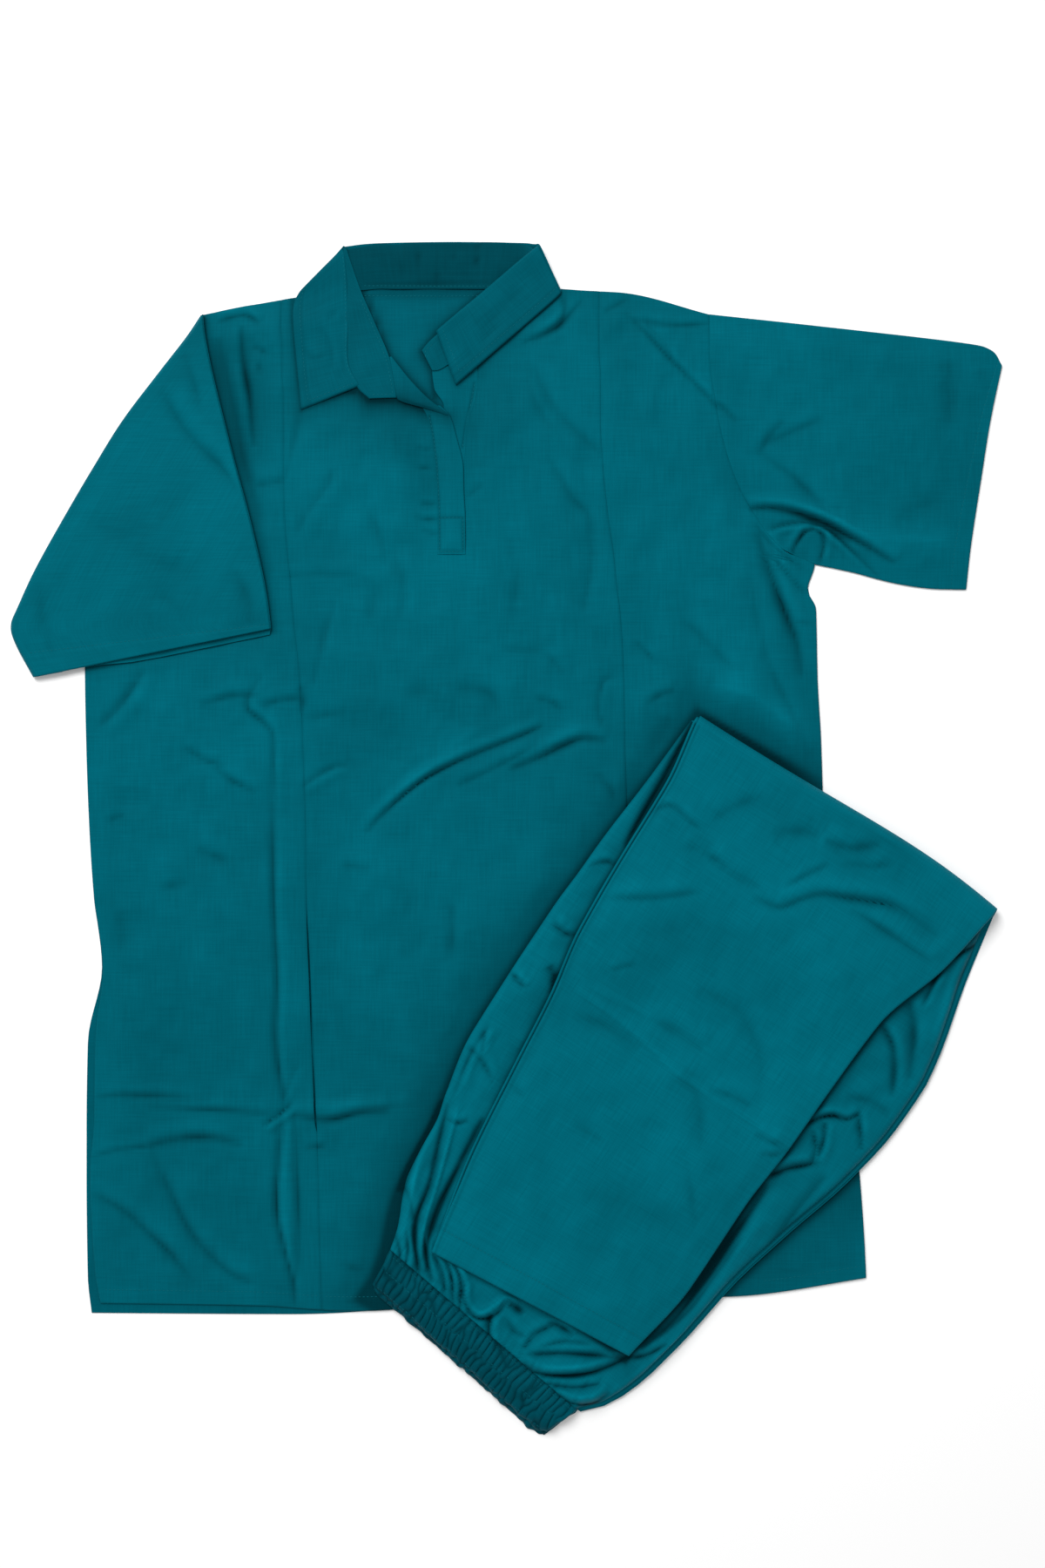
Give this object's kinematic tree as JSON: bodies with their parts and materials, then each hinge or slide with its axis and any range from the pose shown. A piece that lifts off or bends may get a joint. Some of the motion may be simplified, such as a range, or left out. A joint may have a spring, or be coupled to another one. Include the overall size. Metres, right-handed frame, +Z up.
{
  "type": "medical scrubs set laid flat, tunic and folded trousers",
  "caption": "Medical scrubs laid flat: short-sleeved tunic with shirt collar and half placket, a sleeve folded over the body, and folded elastic-waist trousers lying on it.",
  "frame": {"origin": "on the surface that the scrubs lie on, under the middle of the outfit", "axes": "+Z up off the surface, +Y from the tunic's hem towards its collar, +X towards the outstretched sleeve"},
  "size_m": [0.7712, 0.9297, 0.0137],
  "materials": {
    "scrubs_cloth": "plain-weave cotton-rich cloth, soft low sheen",
    "waistband_cloth": "the same cloth, gathered over elastic"
  },
  "bodies": {
    "root": {"tunic_back": "scrubs_cloth", "tunic_centre_front": "scrubs_cloth", "tunic_side_front_left": "scrubs_cloth", "tunic_side_front_right": "scrubs_cloth", "tunic_sleeve_right": "scrubs_cloth", "tunic_sleeve_left": "scrubs_cloth", "tunic_placket_under": "scrubs_cloth", "tunic_placket_over": "scrubs_cloth", "tunic_front_turnback": "scrubs_cloth", "tunic_collar_stand": "scrubs_cloth", "tunic_collar_fall": "scrubs_cloth", "trousers_outer_leg_back": "scrubs_cloth", "trousers_outer_leg_front": "scrubs_cloth", "trousers_inner_leg": "scrubs_cloth", "trousers_waistband_lower": "waistband_cloth", "trousers_waistband_upper": "waistband_cloth"}
  },
  "joints": []
}
